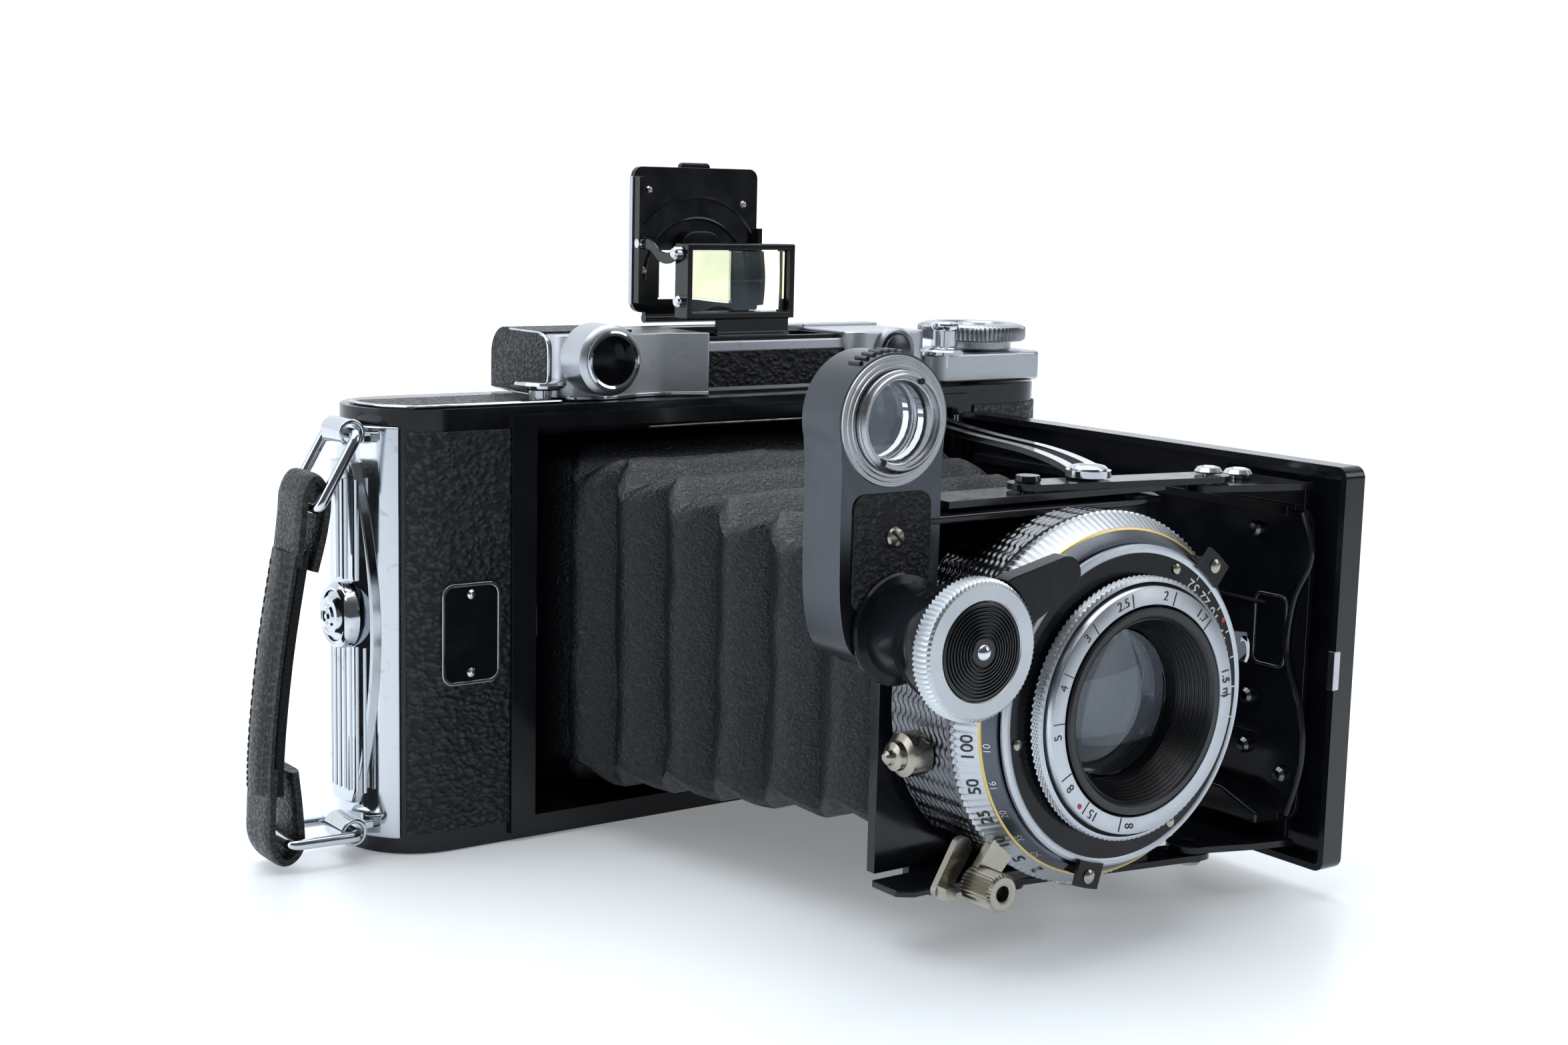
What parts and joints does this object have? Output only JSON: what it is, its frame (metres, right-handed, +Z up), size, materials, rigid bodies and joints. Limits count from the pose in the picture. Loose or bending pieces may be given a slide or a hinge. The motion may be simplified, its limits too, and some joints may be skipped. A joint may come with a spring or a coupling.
{
  "type": "folding rangefinder roll film camera",
  "caption": "Folding bellows camera with an open bed, drawn out lens and shutter, swinging wedge arm, top rangefinder housing, folding finder and hand strap.",
  "frame": {"origin": "on the flat bottom of the body, below the lens axis", "axes": "+X to the right seen from the front, +Y from the lens towards the film back, +Z up"},
  "size_m": [0.1817, 0.1418, 0.124],
  "materials": {
    "heavy_enamel": "gloss black baked enamel on the pressed body",
    "enamel": "gloss black enamel on light pressings",
    "black_paint": "matt black paint",
    "black_plastic": "black moulding",
    "black_alloy": "black anodised alloy, engraved",
    "satin_alloy": "bright satin alloy, knurled edges",
    "satin_chrome": "satin chrome",
    "chrome": "polished chrome",
    "nickel": "worn nickel",
    "steel": "bright steel",
    "spool_metal": "painted spool",
    "backing_paper": "film and backing paper",
    "blade_steel": "blackened blades",
    "brass": "brass",
    "leather": "black grained leather",
    "glass": "clear optical glass",
    "ruby_glass": "ruby window"
  },
  "bodies": {
    "camera_body": {"body_shell": "heavy_enamel", "back_hinge_pin": "steel", "tripod_bush": "brass", "end_plate": "chrome", "winding_platform": "satin_chrome", "top_housing": "satin_chrome", "finder_well": "black_paint", "rangefinder_window_ring": "chrome", "rangefinder_eyepiece": "black_plastic", "rangefinder_prism": "glass", "bellows": "leather", "bed_hinge_pin": "steel"},
    "back_latch": {"back_latch_button": "chrome"},
    "film_back": {"back_cover": "heavy_enamel", "pressure_plate": "steel", "red_window": "ruby_glass"},
    "window_cover": {"window_cover_slide": "chrome"},
    "supply_spool": {"supply_film_roll": "backing_paper"},
    "winding": {"takeup_spool": "spool_metal", "winding_knob": "chrome"},
    "release": {"release_button": "chrome"},
    "bed_release": {"bed_release_button": "chrome"},
    "finder_front": {"finder_front_frame": "enamel", "finder_front_lens": "glass"},
    "finder_rear": {"finder_rear_panel": "enamel", "finder_rear_lens": "glass"},
    "carrying_strap": {"upper_strap_ring": "chrome", "lower_strap_ring": "chrome", "strap": "leather"},
    "bed_door": {"bed_door_shell": "enamel", "bed_inner_plate": "enamel", "upper_bed_pivot_screw": "chrome", "lower_bed_pivot_screw": "chrome"},
    "bed_links": {"upper_link": "enamel", "lower_link": "enamel"},
    "struts": {"upper_strut": "chrome", "lower_strut": "chrome"},
    "lens_standard": {"lens_standard_plate": "enamel", "shutter_housing": "black_alloy", "rear_lens_barrel": "black_alloy", "rear_lens": "glass", "aperture_blades": "blade_steel", "middle_lens": "glass", "shutter_face_plate": "black_alloy", "cable_release_socket": "nickel", "focus_barrel": "black_alloy", "gear_bridge": "black_alloy"},
    "speed_setting": {"speed_ring": "satin_alloy"},
    "cocking": {"cocking_lever": "chrome"},
    "shutter_release": {"shutter_release_lever": "nickel"},
    "focusing": {"distance_ring": "satin_alloy", "front_lens_cell": "black_alloy", "front_lens": "glass"},
    "focus_wheel": {"focus_wheel_rim": "satin_alloy", "focus_wheel_disc": "black_alloy"},
    "wedge_arm": {"wedge_arm_housing": "satin_alloy"},
    "front_wedge_cell": {"front_wedge_mount": "satin_alloy", "front_wedge": "glass"},
    "rear_wedge_cell": {"rear_wedge_mount": "satin_alloy", "rear_wedge": "glass"}
  },
  "joints": [
    {"name": "bed_door_hinge", "type": "hinge", "parent": "camera_body", "child": "bed_door", "pos_m": [0.05, -0.018, 0.0404], "axis": [0, 0, -1], "range_deg": [0, 45], "deforming": ["bellows"]},
    {"name": "bed_link_hinge", "type": "hinge", "parent": "bed_door", "child": "bed_links", "pos_m": [0.0315, -0.106, 0.0404], "axis": [0, 0, -1], "range_deg": [0, 90]},
    {"name": "standard_hinge", "type": "hinge", "parent": "bed_links", "child": "lens_standard", "pos_m": [-0.0041, -0.0997, 0.0404], "axis": [0, 0, -1], "range_deg": [-150, 10]},
    {"name": "strut_hinge", "type": "hinge", "parent": "camera_body", "child": "struts", "pos_m": [0.044, -0.013, 0.0404], "axis": [0, 0, -1], "range_deg": [0, 60]},
    {"name": "film_back_hinge", "type": "hinge", "parent": "camera_body", "child": "film_back", "pos_m": [0.0799, 0.001, 0.0404], "axis": [0, 0, -1], "range_deg": [0, 100]},
    {"name": "back_latch_press", "type": "slide", "parent": "camera_body", "child": "back_latch", "axis": [1, 0, 0], "range_m": [0, 0.0011], "stiffness_N_per_m": 300},
    {"name": "window_cover_slide_joint", "type": "slide", "parent": "film_back", "child": "window_cover", "axis": [1, 0, 0], "range_m": [0, 0.013]},
    {"name": "supply_spool_spin", "type": "hinge", "parent": "camera_body", "child": "supply_spool", "pos_m": [-0.066, -0.0035, 0.0404], "axis": [0, 0, 1], "continuous": true},
    {"name": "winding_turn", "type": "hinge", "parent": "camera_body", "child": "winding", "pos_m": [0.066, -0.0035, 0.0404], "axis": [0, 0, 1], "continuous": true},
    {"name": "release_press", "type": "slide", "parent": "camera_body", "child": "release", "axis": [0, 0, -1], "range_m": [0, 0.0012], "stiffness_N_per_m": 300},
    {"name": "bed_release_press", "type": "slide", "parent": "camera_body", "child": "bed_release", "axis": [0, 0, -1], "range_m": [0, 0.0012], "stiffness_N_per_m": 300},
    {"name": "finder_rear_fold", "type": "hinge", "parent": "camera_body", "child": "finder_rear", "pos_m": [0.0046, 0.0124, 0.0938], "axis": [1, 0, 0], "range_deg": [0, 60]},
    {"name": "finder_front_fold", "type": "hinge", "parent": "camera_body", "child": "finder_front", "pos_m": [0.0046, -0.004, 0.091], "axis": [1, 0, 0], "range_deg": [0, 60]},
    {"name": "strap_swing", "type": "hinge", "parent": "camera_body", "child": "carrying_strap", "pos_m": [-0.0828, -0.009, 0.0404], "axis": [0, 0, 1], "range_deg": [-4.5, 4.5]},
    {"name": "speed_setting_turn", "type": "hinge", "parent": "lens_standard", "child": "speed_setting", "pos_m": [0, -0.116, 0.0404], "axis": [0, 1, 0], "range_deg": [0, 60]},
    {"name": "cocking_turn", "type": "hinge", "parent": "lens_standard", "child": "cocking", "pos_m": [0, -0.1128, 0.0404], "axis": [0, 1, 0], "range_deg": [0, 25]},
    {"name": "shutter_release_press", "type": "hinge", "parent": "lens_standard", "child": "shutter_release", "pos_m": [-0.0254, -0.111, 0.0188], "axis": [0, 1, 0], "range_deg": [-7, 0], "stiffness_Nm_per_rad": 0.02},
    {"name": "focusing_turn", "type": "hinge", "parent": "lens_standard", "child": "focusing", "pos_m": [0, -0.121, 0.0404], "axis": [0, 1, 0], "range_deg": [0, 270]},
    {"name": "focus_wheel_turn", "type": "hinge", "parent": "lens_standard", "child": "focus_wheel", "pos_m": [-0.0357, -0.124, 0.054], "axis": [0, 1, 0], "range_deg": [0, 540]},
    {"name": "wedge_arm_swing", "type": "hinge", "parent": "lens_standard", "child": "wedge_arm", "pos_m": [-0.0357, -0.101, 0.054], "axis": [0, 1, 0], "range_deg": [-110, 0]},
    {"name": "front_wedge_turn", "type": "hinge", "parent": "wedge_arm", "child": "front_wedge_cell", "pos_m": [-0.0375, -0.105, 0.0861], "axis": [0, 1, 0], "range_deg": [0, 90]},
    {"name": "rear_wedge_turn", "type": "hinge", "parent": "wedge_arm", "child": "rear_wedge_cell", "pos_m": [-0.0375, -0.1, 0.0861], "axis": [0, 1, 0], "range_deg": [-90, 0]}
  ],
  "couplings": [
    {"joint": "bed_link_hinge", "follows": "bed_door_hinge", "ratio": 0.889},
    {"joint": "standard_hinge", "follows": "bed_door_hinge", "ratio": -1.889},
    {"joint": "strut_hinge", "follows": "bed_door_hinge", "ratio": 1.07},
    {"joint": "finder_front_fold", "follows": "finder_rear_fold", "ratio": 1},
    {"joint": "focus_wheel_turn", "follows": "focusing_turn", "ratio": 2},
    {"joint": "front_wedge_turn", "follows": "focusing_turn", "ratio": 0.3333},
    {"joint": "rear_wedge_turn", "follows": "focusing_turn", "ratio": -0.3333}
  ]
}
